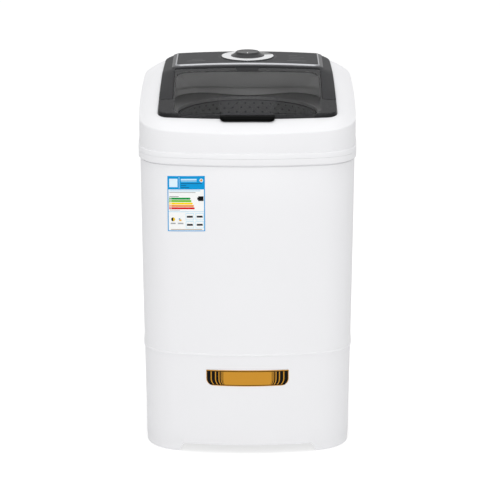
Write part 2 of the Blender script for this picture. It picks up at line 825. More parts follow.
def make_cabinet():
    """The cabinet is a tall sleeve with a bead at its foot and a flange at its top."""

    def level(share, inset):
        half = CABINET_FOOT_HALF + (CABINET_TOP_HALF - CABINET_FOOT_HALF) * share
        front = CABINET_FOOT_FRONT + (CABINET_TOP_FRONT - CABINET_FOOT_FRONT) * share
        return skin_outline(half, front, BODY_REAR, inset)

    bead_top = CABINET_BOTTOM_Z + CABINET_BEAD_HEIGHT
    flange_inset = CABINET_WALL + CABINET_FLANGE
    section = [
        ring(level(0.0, CABINET_BEAD), CABINET_BOTTOM_Z),
        ring(level(0.0, 0.0), CABINET_BOTTOM_Z + CABINET_BEAD),
        ring(level(0.0, 0.0), bead_top - CABINET_BEAD),
        ring(level(0.0, CABINET_BEAD / 2.0), bead_top),
        ring(level(1.0, 0.0), CABINET_TOP_Z),
        ring(level(1.0, flange_inset), CABINET_TOP_Z),
        ring(level(1.0, flange_inset), CABINET_TOP_Z - CABINET_WALL),
        ring(level(1.0, CABINET_WALL), CABINET_TOP_Z - CABINET_WALL),
        ring(level(0.0, CABINET_WALL + CABINET_BEAD), bead_top),
        ring(level(0.0, flange_inset), bead_top),
        ring(level(0.0, flange_inset), CABINET_BOTTOM_Z),
    ]
    shell = add_object("cabinet_shell", rings_mesh("cabinet_shell", section, True), white)
    middle = (COVER_PLATE_LOW_Z + COVER_PLATE_HIGH_Z) / 2.0
    opening_half = COVER_PLATE_HALF - COVER_PLATE_LAP
    opening_height = COVER_PLATE_HIGH_Z - COVER_PLATE_LOW_Z - 2.0 * COVER_PLATE_LAP
    depth = CABINET_WALL + CUT_OVERRUN
    hole = upright_plate("service_opening", BODY_REAR, middle, opening_half, opening_height, depth)
    boolean(shell, hole)
    face = BODY_REAR + SEAT_GAP + COVER_PLATE_THICKNESS / 2.0
    height = COVER_PLATE_HIGH_Z - COVER_PLATE_LOW_Z
    thickness = COVER_PLATE_THICKNESS / 2.0
    upright_plate("rear_cover", face, middle, COVER_PLATE_HALF, height, thickness, grey_plastic)

    outer = skin_outline(BAND_HALF, BAND_FRONT, BAND_REAR, 0.0)
    inner = level(1.0, -SEAT_GAP)
    round_inset = BAND_WALL / 4.0
    outer_round = skin_outline(BAND_HALF, BAND_FRONT, BAND_REAR, round_inset)
    section = [
        ring(outer_round, BAND_BOTTOM_Z),
        ring(outer, BAND_BOTTOM_Z + round_inset),
        ring(outer, BAND_SPLIT_Z - round_inset),
        ring(outer_round, BAND_SPLIT_Z),
        ring(inner, BAND_SPLIT_Z),
        ring(inner, BAND_BOTTOM_Z),
    ]
    add_object("seam_band", rings_mesh("seam_band", section, True), white_trim)


def upright_plate(name, y, z, half, height, half_depth, material=None):
    """A plate with rounded corners, standing in the rear face."""
    bm = bmesh.new()
    bmesh.ops.create_cube(bm, size=1.0)
    bmesh.ops.scale(bm, vec=(2.0 * half, 2.0 * half_depth, height), verts=bm.verts)
    uprights = [edge for edge in bm.edges if is_along(edge, 1)]
    bmesh.ops.bevel(
        bm,
        geom=uprights,
        affect="EDGES",
        offset=COVER_PLATE_CORNER,
        segments=4,
        profile=0.5,
        material=-1,
    )
    bmesh.ops.translate(bm, vec=(0.0, y, z), verts=bm.verts)
    return add_object(name, finish_mesh(name, bm), material)


def is_along(edge, axis):
    """Whether an edge of a box runs along one axis."""
    run = edge.verts[1].co - edge.verts[0].co
    return abs(run[axis]) > 0.99 * run.length


def make_top_frame():
    """The white frame: wall with a bead, crease, crowned rail and the insert's flange."""
    band = skin_outline(BAND_HALF, BAND_FRONT, BAND_REAR, 0.0)
    bead = skin_outline(BAND_HALF, BAND_FRONT, BAND_REAR, (BAND_HALF - WALL_HALF) / 3.0)
    wall = skin_outline(WALL_HALF, WALL_FRONT, WALL_REAR, 0.0)
    shoulder = skin_outline(WALL_HALF, WALL_FRONT, WALL_REAR, CREASE_ROUND)
    inside = skin_outline(WALL_HALF, WALL_FRONT, WALL_REAR, FRAME_WALL)
    edge = insert_outline(INSERT_GAP)
    under = insert_outline(INSERT_GAP + RECESS_WALL)
    lip = insert_outline(-RECESS_FLANGE)
    crease = ring(shoulder, lambda x, y: crease_height(x, y) + CREASE_ROUND / 3.0)
    inner_edge = ring(edge, rail_height)
    crown = [
        (low + high) / 2.0 + Vector((0.0, 0.0, RAIL_CROWN)) for low, high in zip(crease, inner_edge)
    ]
    under_edge = ring(under, lowered(recess_height, FRAME_WALL))
    under_crease = ring(inside, lowered(crease_height, FRAME_WALL))
    under_crown = [
        (low + high) / 2.0 + Vector((0.0, 0.0, RAIL_CROWN / 2.0))
        for low, high in zip(under_crease, under_edge)
    ]
    section = [
        ring(band, FRAME_BOTTOM_Z),
        ring(band, FRAME_BEAD_Z),
        ring(bead, (FRAME_BEAD_Z + FRAME_WALL_Z) / 2.0),
        ring(wall, FRAME_WALL_Z),
        ring(wall, lowered(crease_height, CREASE_ROUND)),
        crease,
        crown,
        inner_edge,
        ring(edge, recess_height),
        ring(lip, recess_height),
        ring(lip, lowered(recess_height, FRAME_WALL)),
        under_edge,
        under_crown,
        under_crease,
        ring(inside, lowered(crease_height, CREASE_ROUND + FRAME_WALL)),
        ring(inside, FRAME_BOTTOM_Z),
    ]
    add_object("top_frame", rings_mesh("top_frame", section, True), white)


def make_console_frame():
    """The dark insert: hollow arms, a raised console deck and a thin ledge for the lid."""
    across, along = deck_lines()
    prism_low = RAIL_FRONT_Z - RECESS_DEPTH - CUT_OVERRUN
    prism_high = KNOB_TOP_Z
    half = INSERT_HALF + CUT_OVERRUN
    front = INSERT_FRONT - CUT_OVERRUN
    rear = INSERT_REAR + CUT_OVERRUN
    frame = crowned_block(
        "console_frame", half, front, rear, deck_height, insert_foot, across, along, dark_plastic
    )
    limit = prism_mesh("insert_limit", insert_outline(0.0), prism_low, prism_high)
    boolean(frame, add_object("insert_limit", limit), "INTERSECT")

    plateau = crowned_block(
        "plateau_block",
        TRIM_HALF - TRIM_BEVEL,
        TRIM_FRONT_Y + TRIM_BEVEL,
        INSERT_REAR - SEAT_GAP,
        lowered(plateau_height, PANEL_THICKNESS + SEAT_GAP),
        lowered(deck_height, INSERT_WALL / 2.0),
        spread(-STRIP_START_X, STRIP_START_X, 7),
        [],
    )
    boolean(frame, plateau, "UNION")

    opening = outline(WELL_HALF, WELL_FRONT, WELL_REAR, OPENING_CORNER, counts=PLAIN_COUNTS)
    hole = prism_mesh("lid_opening", opening, prism_low, prism_high)
    boolean(frame, add_object("lid_opening", hole))

    step = crowned_block(
        "lid_step",
        half + CUT_OVERRUN,
        front - CUT_OVERRUN,
        ARM_FRONT_Y,
        prism_high,
        lowered(insert_foot, -SEAT_LEDGE),
        [],
        along,
    )
    boolean(frame, step)

    inner = insert_outline(-INSERT_WALL)
    hollow = crowned_block(
        "console_hollow",
        half,
        ARM_FRONT_Y + INSERT_WALL,
        INSERT_REAR - INSERT_WALL,
        lowered(deck_height, INSERT_WALL),
        prism_low,
        across,
        along,
    )
    limit = prism_mesh("hollow_limit", inner, 0.0, 2.0 * prism_high)
    boolean(hollow, add_object("hollow_limit", limit), "INTERSECT")
    collar = outline(
        WELL_HALF + INSERT_WALL,
        WELL_FRONT - INSERT_WALL,
        WELL_REAR + INSERT_WALL,
        OPENING_CORNER + INSERT_WALL,
        counts=PLAIN_COUNTS,
    )
    collar_block = prism_mesh("hollow_collar", collar, 0.0, 2.0 * prism_high)
    boolean(hollow, add_object("hollow_collar", collar_block))
    boolean(frame, hollow)
    stop = crowned_block(
        "tab_stop",
        TAB_HALF,
        TAB_STOP_FRONT,
        TAB_STOP_REAR,
        lambda x, y: deck_height(x, y) + TAB_HEIGHT + SEAT_GAP,
        lowered(deck_height, INSERT_WALL / 2.0),
        spread(-TAB_HALF, TAB_HALF, 3),
        [],
    )
    boolean(frame, stop, "UNION")

    shaft_hole = rod(
        "console_shaft_hole",
        TIMER_SHAFT_RADIUS + SEAT_GAP,
        prism_low,
        prism_high,
        (0.0, DIAL_Y),
        16,
    )
    boolean(frame, shaft_hole)
    boolean(frame, hinge_bore("arm_bore"))
    boolean(frame, rod("ledge_hole", PLUNGER_HOLE, prism_low, prism_high, (SWITCH_X, SWITCH_Y), 12))
    return frame


def hinge_bore(name):
    """A bore on the hinge axis through both sides."""
    reach = WELL_HALF + HINGE_PIN_REACH + SEAT_GAP
    bm = bmesh.new()
    turn = Matrix.Rotation(math.radians(90.0), 4, "Y")
    bmesh.ops.create_cone(
        bm,
        cap_ends=True,
        segments=16,
        radius1=HINGE_PIN_RADIUS + SEAT_GAP,
        radius2=HINGE_PIN_RADIUS + SEAT_GAP,
        depth=2.0 * reach,
        matrix=Matrix.Translation((0.0, HINGE_Y, HINGE_Z)) @ turn,
    )
    return add_object(name, finish_mesh(name, bm))


def make_console_top():
    """The glossy panel, the silver trim round three of its sides and the dial ring."""
    inner_half = TRIM_HALF - TRIM_BEVEL - TRIM_BAR
    inner_front = TRIM_FRONT_Y + TRIM_BEVEL + TRIM_BAR / 4.0
    high = KNOB_TOP_Z
    low = RAIL_FRONT_Z
    lines = spread(-inner_half, inner_half, 9)

    def trim_top(x, y):
        lean_x = (abs(x) - (TRIM_HALF - TRIM_BEVEL)) / TRIM_BEVEL
        lean_y = (TRIM_FRONT_Y + TRIM_BEVEL - y) / TRIM_BEVEL
        lean = min(1.0, max(0.0, lean_x, lean_y))
        edge = deck_height(x, y) + SEAT_GAP + TRIM_EDGE
        return (plateau_height(x, y) + TRIM_STAND) * (1.0 - lean) + edge * lean

    bevel_x = TRIM_HALF - TRIM_BEVEL
    trim = crowned_block(
        "console_trim",
        TRIM_HALF + CUT_OVERRUN,
        TRIM_FRONT_Y - CUT_OVERRUN,
        INSERT_REAR,
        trim_top,
        lowered(deck_height, -SEAT_GAP),
        lines + [bevel_x, -bevel_x, TRIM_HALF, -TRIM_HALF, STRIP_START_X, -STRIP_START_X],
        [TRIM_FRONT_Y + TRIM_BEVEL, TRIM_FRONT_Y],
        silver,
    )
    far = INSERT_REAR + 2.0 * CUT_OVERRUN
    outer = outline(TRIM_HALF, TRIM_FRONT_Y, far + TRIM_CORNER, TRIM_CORNER, counts=PLAIN_COUNTS)
    boolean(trim, add_object("trim_limit", prism_mesh("trim_limit", outer, low, high)), "INTERSECT")
    seat_half = TRIM_HALF - TRIM_BEVEL + SEAT_GAP
    seat_front = TRIM_FRONT_Y + TRIM_BEVEL - SEAT_GAP
    seat = crowned_block(
        "trim_seat",
        seat_half,
        seat_front,
        far,
        lambda x, y: plateau_height(x, y) - SEAT_GAP / 2.0,
        low,
        lines,
        [],
    )
    boolean(trim, seat)
    inner = outline(
        inner_half,
        inner_front,
        far + TRIM_CORNER,
        TRIM_CORNER / 2.0,
        counts=PLAIN_COUNTS,
    )
    boolean(trim, add_object("trim_window", prism_mesh("trim_window", inner, low, high)))

    panel = crowned_block(
        "control_panel",
        TRIM_HALF - TRIM_BEVEL - SEAT_GAP,
        TRIM_FRONT_Y + TRIM_BEVEL + SEAT_GAP,
        INSERT_REAR - SEAT_GAP,
        lowered(plateau_height, SEAT_GAP),
        lowered(plateau_height, PANEL_THICKNESS),
        lines,
        [],
        panel_black,
    )
    boolean(
        panel,
        rod("panel_shaft_hole", TIMER_SHAFT_RADIUS + SEAT_GAP, low, high, (0.0, DIAL_Y), 16),
    )


def make_dial():
    """Ring, knob, shaft and the timer body that hangs under the console."""
    ring_foot = plateau_height(0.0, DIAL_Y + RING_RADIUS) + SEAT_GAP
    ring_top = ring_foot + RING_THICKNESS
    shaft_hole = TIMER_SHAFT_RADIUS + SEAT_GAP
    turned(
        "dial_ring",
        [
            (RING_RADIUS - RING_THICKNESS / 2.0, ring_top),
            (RING_RADIUS, ring_foot),
            (shaft_hole, ring_foot),
            (shaft_hole, ring_top),
        ],
        silver_bright,
        (0.0, DIAL_Y),
    )
    knob_foot = ring_top + SEAT_GAP
    roof = KNOB_TOP_Z - KNOB_SKIRT_WALL
    knob = turned(
        "timer_knob",
        [
            (0.0, KNOB_TOP_Z - KNOB_DISH),
            (KNOB_TOP_RADIUS - KNOB_RIM, KNOB_TOP_Z - KNOB_DISH),
            (KNOB_TOP_RADIUS - KNOB_RIM / 2.0, KNOB_TOP_Z),
            (KNOB_TOP_RADIUS, KNOB_TOP_Z - KNOB_DISH),
            (KNOB_BASE_RADIUS - KNOB_RIM, knob_foot + KNOB_RIM),
            (KNOB_BASE_RADIUS, knob_foot),
            (KNOB_BASE_RADIUS - KNOB_SKIRT_WALL, knob_foot),
            (KNOB_TOP_RADIUS - KNOB_SKIRT_WALL, roof - KNOB_SKIRT_WALL),
            (KNOB_HUB_RADIUS, roof - KNOB_SKIRT_WALL),
            (KNOB_HUB_RADIUS, knob_foot),
            (shaft_hole, knob_foot),
            (shaft_hole, knob_foot + TIMER_SHAFT_GRIP),
            (0.0, knob_foot + TIMER_SHAFT_GRIP),
        ],
        knob_plastic,
        (0.0, DIAL_Y),
        ROUND_STEPS,
        False,
    )
    floor = plateau_height(0.0, PLATEAU_FRONT_Y) - PANEL_THICKNESS - INSERT_WALL
    under_deck = min(floor, deck_height(0.0, DIAL_Y) - INSERT_WALL)
    body_top = deck_height(TIMER_BODY_HALF, DIAL_Y - TIMER_BODY_HALF) - INSERT_WALL - SEAT_GAP
    body_top = min(body_top, under_deck)
    rounded_box(
        "timer_body",
        (0.0, DIAL_Y, body_top - TIMER_BODY_DEPTH / 2.0),
        (2.0 * TIMER_BODY_HALF, 2.0 * TIMER_BODY_HALF, TIMER_BODY_DEPTH),
        TIMER_BODY_ROUND,
        2,
        white_trim,
    )
    shaft = rod(
        "timer_shaft",
        TIMER_SHAFT_RADIUS,
        body_top + SEAT_GAP,
        knob_foot + TIMER_SHAFT_GRIP - SEAT_GAP,
        (0.0, DIAL_Y),
        16,
        steel,
    )
    set_origin(shaft, (0.0, DIAL_Y, 0.0))
    return knob


def lid_foot(x, y):
    """The underside of the lid's skirt."""
    return max(insert_foot(x, y) + SEAT_LEDGE + LID_LIFT, deck_height(x, y) - LID_SKIRT)


def lid_plan(inset):
    """The lid's plan: full width in front of the arms, narrower between them."""
    front_edge = [point for point in insert_outline(-inset) if point.y < ARM_FRONT_Y - LID_SIDE_GAP]
    right = [point for point in front_edge if point.x >= 0.0]
    left = [point for point in front_edge if point.x < 0.0]
    right.sort(key=lambda point: math.atan2(point.y - ARM_FRONT_Y, point.x))
    left.sort(key=lambda point: math.atan2(point.y - ARM_FRONT_Y, -point.x))
    step_y = ARM_FRONT_Y - LID_SIDE_GAP - inset
    half = WELL_HALF - LID_SIDE_GAP - inset
    corner = OPENING_CORNER - LID_SIDE_GAP - inset
    tail = outline(half, -half, LID_REAR_Y - inset, max(corner, SEAT_GAP), counts=PLAIN_COUNTS)
    tail = [point for point in tail if point.y > 0.0]
    right = [point for point in right if point.y < step_y]
    left = [point for point in left if point.y < step_y]
    wide = max(point.x for point in right)
    plan = right + [Vector((wide, step_y)), Vector((half, step_y))]
    plan += tail
    plan += [Vector((-half, step_y)), Vector((-wide, step_y))]
    plan += list(reversed(left))
    return plan


def lid_top(x, y):
    """The lid follows the deck and rounds down at its rear edge, so that it can swing."""
    share = between(y, LID_REAR_Y - LID_TAIL, LID_REAR_Y)
    return deck_height(x, y) - LID_TAIL_DROP * (1.0 - math.sqrt(1.0 - share * share))


def make_lid():
    """The smoked lid: a crowned skin with a skirt, cut to its plan and hollowed below."""
    across, along = deck_lines()
    low = RAIL_FRONT_Z - RECESS_DEPTH - CUT_OVERRUN
    high = KNOB_TOP_Z
    half = INSERT_HALF + CUT_OVERRUN
    front = INSERT_FRONT - CUT_OVERRUN
    tail_lines = [LID_REAR_Y - LID_TAIL, LID_REAR_Y - LID_TAIL / 2.0, LID_REAR_Y]
    lid = crowned_block(
        "lid",
        half,
        front,
        LID_REAR_Y + CUT_OVERRUN,
        lid_top,
        lid_foot,
        across,
        along + [(STRIP_FADE_Y + ARM_FRONT_Y) / 2.0] + tail_lines,
        smoked,
    )
    limit = prism_mesh("lid_limit", lid_plan(0.0), low, high)
    boolean(lid, add_object("lid_limit", limit), "INTERSECT")
    hollow = crowned_block(
        "lid_hollow",
        half,
        front,
        LID_REAR_Y + CUT_OVERRUN,
        lowered(lid_top, LID_WALL),
        low - CUT_OVERRUN,
        across,
        along + tail_lines,
    )
    inner = prism_mesh("lid_hollow_limit", lid_plan(LID_WALL), low - CUT_OVERRUN, high)
    boolean(hollow, add_object("lid_hollow_limit", inner), "INTERSECT")
    boolean(lid, hollow)
    boolean(lid, hinge_bore("lid_bore"))

    points = [
        Vector((-GRIP_FOOT_HALF, GRIP_FOOT_Y)),
        Vector((GRIP_FOOT_HALF, GRIP_FOOT_Y)),
        Vector((GRIP_TOP_HALF, GRIP_TOP_Y)),
        Vector((-GRIP_TOP_HALF, GRIP_TOP_Y)),
    ]
    recess = crowned_block(
        "grip_recess",
        half,
        front,
        LID_REAR_Y,
        high,
        lowered(deck_height, GRIP_DEPTH),
        across,
        along,
    )
    limit = prism_mesh("grip_limit", points, low, 2.0 * high)
    boolean(recess, add_object("grip_limit", limit), "INTERSECT")
    boolean(lid, recess)

    hinge = (0.0, HINGE_Y, HINGE_Z)
    for side, name in ((-1.0, "hinge_pin_left"), (1.0, "hinge_pin_right")):
        inner_x = WELL_HALF - LID_SIDE_GAP - LID_WALL
        outer_x = WELL_HALF + HINGE_PIN_REACH
        bm = bmesh.new()
        turn = Matrix.Rotation(math.radians(90.0), 4, "Y")
        bmesh.ops.create_cone(
            bm,
            cap_ends=True,
            segments=16,
            radius1=HINGE_PIN_RADIUS,
            radius2=HINGE_PIN_RADIUS,
            depth=outer_x - inner_x,
            matrix=Matrix.Translation((side * (inner_x + outer_x) / 2.0, HINGE_Y, HINGE_Z)) @ turn,
        )
        set_origin(add_object(name, finish_mesh(name, bm), steel), hinge)

    tab_front = HINGE_Y - TAB_LENGTH
    tab = crowned_block(
        "lid_tab",
        TAB_HALF,
        tab_front,
        HINGE_Y,
        lambda x, y: deck_height(x, y) + 3.0 * SEAT_GAP + TAB_HEIGHT * between(y, tab_front, HINGE_Y),
        lowered(deck_height, -SEAT_GAP),
        spread(-TAB_HALF, TAB_HALF, 3),
        [(HINGE_Y + tab_front) / 2.0],
        dark_plastic,
    )
    for moving in (lid, tab, make_handle(front)):
        set_origin(moving, hinge)


def front_rail_height(y):
    """The rail's crowned slope in front of the lid, on the middle line."""
    crease_y = WALL_FRONT + CREASE_ROUND
    crease_z = crease_height(0.0, crease_y) + CREASE_ROUND / 3.0
    edge_y = INSERT_FRONT - INSERT_GAP
    edge_z = rail_height(0.0, edge_y)
    middle_y = (crease_y + edge_y) / 2.0
    middle_z = (crease_z + edge_z) / 2.0 + RAIL_CROWN
    if y < middle_y:
        return crease_z + (middle_z - crease_z) * (y - crease_y) / (middle_y - crease_y)
    return middle_z + (edge_z - middle_z) * (y - middle_y) / (edge_y - middle_y)


def make_handle(front):
    """The glossy grip: a lip along the lid's front edge, over the white rail."""
    back = INSERT_FRONT - SEAT_GAP
    nose = back - HANDLE_REACH
    tail = front - HANDLE_REACH
    lines = spread(-HANDLE_HALF, HANDLE_HALF, 7)

    def top(x, y):
        share = (back - y) / HANDLE_REACH
        return HANDLE_TOP_Z - HANDLE_NOSE_DROP * share * share

    def bottom(x, y):
        return front_rail_height(y) + HANDLE_CLEARANCE

    handle = crowned_block(
        "lid_handle",
        HANDLE_HALF + CUT_OVERRUN,
        tail,
        INSERT_FRONT + INSERT_FRONT_SWELL,
        top,
        bottom,
        lines,
        spread(nose, back, 4),
        handle_black,
    )
    lip = outline(HANDLE_HALF, nose, nose + 3.0 * HANDLE_CORNER, HANDLE_CORNER, counts=PLAIN_COUNTS)
    plan = [point for point in lip if point.y < nose + HANDLE_CORNER]
    plan.sort(key=lambda point: point.x)
    reach = INSERT_HALF - INSERT_CORNER
    for x in reversed(lines):
        plan.append(Vector((x, back + INSERT_FRONT_SWELL * (x / reach) ** 2)))
    limit = prism_mesh("handle_limit", plan, RAIL_FRONT_Z / 2.0, KNOB_TOP_Z)
    boolean(handle, add_object("handle_limit", limit), "INTERSECT")
    return handle


def make_switch():
    """The lid switch hangs under the ledge, and its plunger reaches up to the lid."""
    lid_under = deck_height(SWITCH_X, SWITCH_Y) - LID_WALL
    flange = recess_height(SWITCH_X, SWITCH_Y - SWITCH_HALF_Y) - WELL_WALL
    top = flange - 2.0 * SEAT_GAP
    body = rounded_box(
        "lid_switch",
        (SWITCH_X, SWITCH_Y, top - SWITCH_HEIGHT / 2.0),
        (2.0 * SWITCH_HALF_X, 2.0 * SWITCH_HALF_Y, SWITCH_HEIGHT),
        0.0,
        1,
        dark_plastic,
    )
    bore_low = top - PLUNGER_SUNK - SEAT_GAP
    boolean(body, rod("switch_bore", PLUNGER_HOLE, bore_low, lid_under, (SWITCH_X, SWITCH_Y), 12))
    plunger = rod(
        "switch_plunger",
        PLUNGER_RADIUS,
        top - PLUNGER_SUNK,
        lid_under - 2.0 * SEAT_GAP,
        (SWITCH_X, SWITCH_Y),
        12,
        white_trim,
    )
    set_origin(plunger, (SWITCH_X, SWITCH_Y, 0.0))


def well_outline(rear, corner, half, dip, grow):
    """The well's outline, with a forward dip in the middle of its rear side."""
    points = outline(
        half + grow,
        WELL_FRONT - grow,
        rear + grow,
        corner + grow,
        counts=WELL_COUNTS,
    )
    dipped = []
    for point in points:
        wave = 0.0
        if point.y > 0.0 and abs(point.x) < WELL_DIP_HALF:
            wave = dip * 0.5 * (1.0 + math.cos(math.pi * point.x / WELL_DIP_HALF))
        dipped.append(Vector((point.x, point.y - wave)))
    return dipped


def make_well():
    """The liner that leads from the lid down and back to the tub's mouth."""
    top = lowered(recess_height, 0.0)
    under = lowered(recess_height, WELL_WALL)
    crease_dip = WELL_DIP / 4.0

    def level(place, height, grow):
        rear, corner, half, dip = place
        return ring(well_outline(rear, corner, half, dip, grow), height)

    mouth = (WELL_REAR, WELL_CORNER, WELL_HALF, 0.0)
    crease = (WELL_CREASE_REAR, (WELL_CORNER + WELL_FOOT_CORNER) / 2.0, WELL_HALF, crease_dip)
    foot = (WELL_FOOT_REAR, WELL_FOOT_CORNER, WELL_FOOT_HALF, WELL_DIP)
    inner_mouth = level(mouth, top, 0.0)
    outer_mouth = level(mouth, under, WELL_WALL)
    inner_crease = level(crease, WELL_FOOT_Z, 0.0)
    outer_crease = level(crease, WELL_FOOT_Z, WELL_WALL)
    for above, places, rise in (
        (inner_mouth, inner_crease, 0.0),
        (outer_mouth, outer_crease, WELL_LIP_RISE),
    ):
        for high, place in zip(above, places):
            place.z += (high.z - WELL_FOOT_Z) * WELL_CREASE_SHARE + rise
    section = [
        level(mouth, top, WELL_FLANGE),
        inner_mouth,
        level(mouth, lowered(recess_height, WELL_LIP), 0.0),
        inner_crease,
        level(foot, WELL_FOOT_Z, 0.0),
        level(foot, WELL_FOOT_Z, WELL_WALL),
        outer_crease,
        level(mouth, lowered(recess_height, WELL_LIP - WELL_LIP_RISE), WELL_WALL),
        outer_mouth,
        level(mouth, under, WELL_FLANGE),
    ]
    liner = add_object("well_liner", rings_mesh("well_liner", section, True), liner_grey)
    hole = rod("liner_hole", PLUNGER_HOLE, WELL_FOOT_Z, KNOB_TOP_Z, (SWITCH_X, SWITCH_Y), 12)
    boolean(liner, hole)


def make_tub():
    """The cover plate with its round mouth, and the deep tub under it."""
    plan = skin_outline(WALL_HALF, WALL_FRONT, WALL_REAR, COVER_INSET, COVER_COUNTS)
    mouth = circle_like(plan, COVER_MOUTH_RADIUS)
    lip = circle_like(plan, COVER_MOUTH_RADIUS + COVER_LIP_WALL)
    under = COVER_TOP_Z - COVER_THICKNESS
    section = [
        ring(plan, COVER_TOP_Z),
        ring(mouth, COVER_TOP_Z),
        ring(mouth, COVER_TOP_Z - COVER_LIP_DEPTH),
        ring(lip, COVER_TOP_Z - COVER_LIP_DEPTH),
        ring(lip, under),
        ring(plan, under),
    ]
    add_object("tub_cover", rings_mesh("tub_cover", section, True), liner_grey)

    top = under - SEAT_GAP
    rim = TUB_RADIUS + TUB_RIM_WIDTH
    bottom = TUB_BOTTOM_Z
    tub = turned(
        "outer_tub",
        [
            (rim, top),
            (rim, top - TUB_RIM_HEIGHT),
            (TUB_RADIUS, top - TUB_RIM_HEIGHT),
            (TUB_FOOT_RADIUS, bottom + TUB_ROUND),
            (TUB_FOOT_RADIUS - TUB_ROUND / 3.0, bottom + TUB_ROUND / 3.0),
            (TUB_FOOT_RADIUS - TUB_ROUND, bottom),
            (TUB_DISH_RADIUS, bottom),
            (TUB_HUB_HOLE, bottom + TUB_DISH),
            (TUB_HUB_HOLE, bottom + TUB_DISH + TUB_WALL),
            (TUB_DISH_RADIUS, bottom + TUB_WALL),
            (TUB_FOOT_RADIUS - TUB_ROUND, bottom + TUB_WALL),
            (TUB_FOOT_RADIUS - TUB_WALL, bottom + TUB_ROUND),
            (TUB_RADIUS - TUB_WALL, top - TUB_RIM_HEIGHT),
            (TUB_RADIUS - TUB_WALL, top),
        ],
        tub_plastic,
    )
    spot = (DRAIN_X, DRAIN_Y)
    boolean(tub, rod("tub_drain_hole", DRAIN_HOLE, bottom - CUT_OVERRUN, bottom + 2.0 * TUB_ROUND, spot))


def make_basket():
    """The perforated basket, its rim, its hub and the hollow tube that carries it."""
    top = BASKET_TOP_Z
    bottom = BASKET_BOTTOM_Z
    basket = turned(
        "spin_basket",
        [
            (BASKET_RADIUS, top),
            (BASKET_FOOT_RADIUS, bottom + BASKET_ROUND),
            (BASKET_FOOT_RADIUS - BASKET_ROUND / 3.0, bottom + BASKET_ROUND / 3.0),
            (BASKET_FOOT_RADIUS - BASKET_ROUND, bottom),
            (BASKET_HUB_HOLE, bottom),
            (BASKET_HUB_HOLE, bottom + BASKET_WALL),
            (BASKET_FOOT_RADIUS - BASKET_ROUND, bottom + BASKET_WALL),
            (BASKET_FOOT_RADIUS - BASKET_WALL, bottom + BASKET_ROUND),
            (BASKET_RADIUS - BASKET_WALL, top),
        ],
        basket_white,
        (0.0, 0.0),
        BASKET_STEPS,
    )
    boolean(basket, perforations())
    rim_foot = RIM_TOP_Z - RIM_HEIGHT
    slot_out = BASKET_RADIUS + SEAT_GAP
    slot_in = BASKET_RADIUS - BASKET_WALL - 2.0 * SEAT_GAP
    slot_top = BASKET_TOP_Z + SEAT_GAP
    turned(
        "basket_rim",
        [
            (RIM_RADIUS - SEAT_GAP * 3.0, RIM_TOP_Z),
            (RIM_RADIUS, RIM_TOP_Z - SEAT_GAP * 3.0),
            (RIM_RADIUS, rim_foot),
            (slot_out, rim_foot),
            (slot_out, slot_top),
            (slot_in, slot_top),
            (slot_in, rim_foot),
            (RIM_INNER_RADIUS, rim_foot),
            (RIM_INNER_RADIUS + SEAT_GAP * 3.0, RIM_TOP_Z),
        ],
        white_trim,
        (0.0, 0.0),
        BASKET_STEPS,
    )
    hub_top = bottom - SEAT_GAP
    hub = tube_profile(HUB_RADIUS, TUBE_RADIUS + SEAT_GAP, hub_top - HUB_THICKNESS, hub_top)
    turned("basket_hub", hub, steel)
    tube_top = bottom + BASKET_WALL
    tube = tube_profile(TUBE_RADIUS, TUBE_BORE, TUBE_BOTTOM_Z, tube_top)
    turned("spin_tube", tube, steel, (0.0, 0.0), MEDIUM_STEPS)


def perforations():
    """Short rods through the basket's wall, in staggered rows."""
    bm = bmesh.new()
    columns = round(2.0 * math.pi * BASKET_RADIUS / PERFORATION_PITCH)
    rows = int((PERFORATION_TOP_Z - PERFORATION_BOTTOM_Z) / PERFORATION_ROW) + 1
    middle = (BASKET_RADIUS + BASKET_FOOT_RADIUS - BASKET_WALL) / 2.0
    for row in range(rows):
        height = PERFORATION_TOP_Z - PERFORATION_ROW * row
        for column in range(columns):
            angle = 2.0 * math.pi * (column + 0.5 * (row % 2)) / columns
            turn = Matrix.Rotation(angle, 4, "Z") @ Matrix.Rotation(math.radians(90.0), 4, "Y")
            place = Vector((middle * math.cos(angle), middle * math.sin(angle), height))
            bmesh.ops.create_cone(
                bm,
                cap_ends=True,
                segments=6,
                radius1=PERFORATION_RADIUS,
                radius2=PERFORATION_RADIUS,
                depth=2.0 * CUT_OVERRUN + 2.0 * BASKET_WALL,
                matrix=Matrix.Translation(place) @ turn,
            )
    return add_object("perforations", finish_mesh("perforations", bm))


